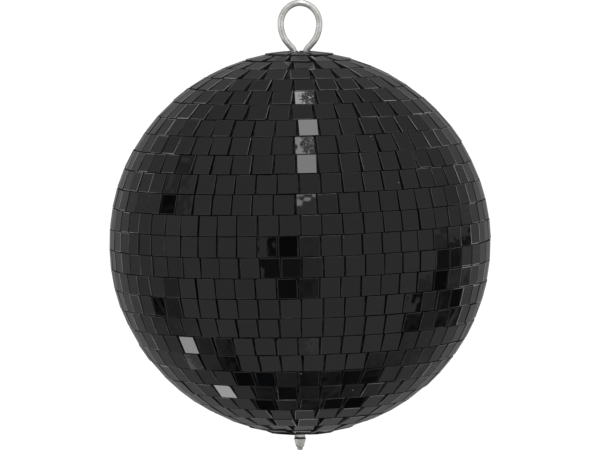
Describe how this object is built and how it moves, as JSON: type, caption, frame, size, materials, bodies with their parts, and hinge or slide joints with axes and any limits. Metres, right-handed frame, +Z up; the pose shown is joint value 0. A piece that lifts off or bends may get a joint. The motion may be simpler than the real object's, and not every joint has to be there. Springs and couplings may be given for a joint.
{
  "type": "mirror ball",
  "caption": "Black mirror ball: rows of square mirror tiles on a hollow two-part shell, hung from a bent-wire eye that rocks on the head of a rod through the ball.",
  "frame": {"origin": "inside of the top of the hanging eye, where a hook bears, on the ball's axis", "axes": "+Z up along the ball's axis, +X along the pivot of the eye and across its loop, -Y towards the viewer who sees the eye's loop open"},
  "size_m": [0.1998, 0.2, 0.2365],
  "materials": {
    "mirror_glass": "flat polished square tiles of black mirror glass with lightly ground edges, open joints between them",
    "shell_plastic": "moulded, dull black, coated with dark tile adhesive where the joints show",
    "bush_nylon": "moulded nylon, satin",
    "bright_steel": "bright zinc plate, slightly worn",
    "rod_steel": "drawn and turned",
    "washer_steel": "zinc plate",
    "tube_aluminium": "drawn tube, cut ends"
  },
  "bodies": {
    "eye": {"hanging_eye": "bright_steel"},
    "ball": {"mirror_row_upper_01": "mirror_glass", "mirror_row_upper_02": "mirror_glass", "mirror_row_upper_03": "mirror_glass", "mirror_row_upper_04": "mirror_glass", "mirror_row_upper_05": "mirror_glass", "mirror_row_upper_06": "mirror_glass", "mirror_row_upper_07": "mirror_glass", "mirror_row_upper_08": "mirror_glass", "mirror_row_upper_09": "mirror_glass", "mirror_row_upper_10": "mirror_glass", "mirror_row_upper_11": "mirror_glass", "mirror_row_upper_12": "mirror_glass", "mirror_row_upper_13": "mirror_glass", "mirror_row_upper_14": "mirror_glass", "mirror_row_lower_01": "mirror_glass", "mirror_row_lower_02": "mirror_glass", "mirror_row_lower_03": "mirror_glass", "mirror_row_lower_04": "mirror_glass", "mirror_row_lower_05": "mirror_glass", "mirror_row_lower_06": "mirror_glass", "mirror_row_lower_07": "mirror_glass", "mirror_row_lower_08": "mirror_glass", "mirror_row_lower_09": "mirror_glass", "mirror_row_lower_10": "mirror_glass", "mirror_row_lower_11": "mirror_glass", "mirror_row_lower_12": "mirror_glass", "mirror_row_lower_13": "mirror_glass", "mirror_row_lower_14": "mirror_glass", "upper_shell": "shell_plastic", "lower_shell": "shell_plastic", "equator_band": "shell_plastic", "top_bush": "bush_nylon", "bottom_bush": "bush_nylon", "spacer_tube": "tube_aluminium", "centre_rod": "rod_steel", "head_washer": "washer_steel", "bottom_washer": "washer_steel", "spring_washer": "washer_steel", "lock_nut": "bright_steel", "tapered_nut": "bright_steel"}
  },
  "joints": [
    {"name": "eye_rock", "type": "hinge", "parent": "eye", "child": "ball", "pos_m": [0, 0, -0.02855], "axis": [1, 0, 0], "range_deg": [-28, 28]}
  ]
}
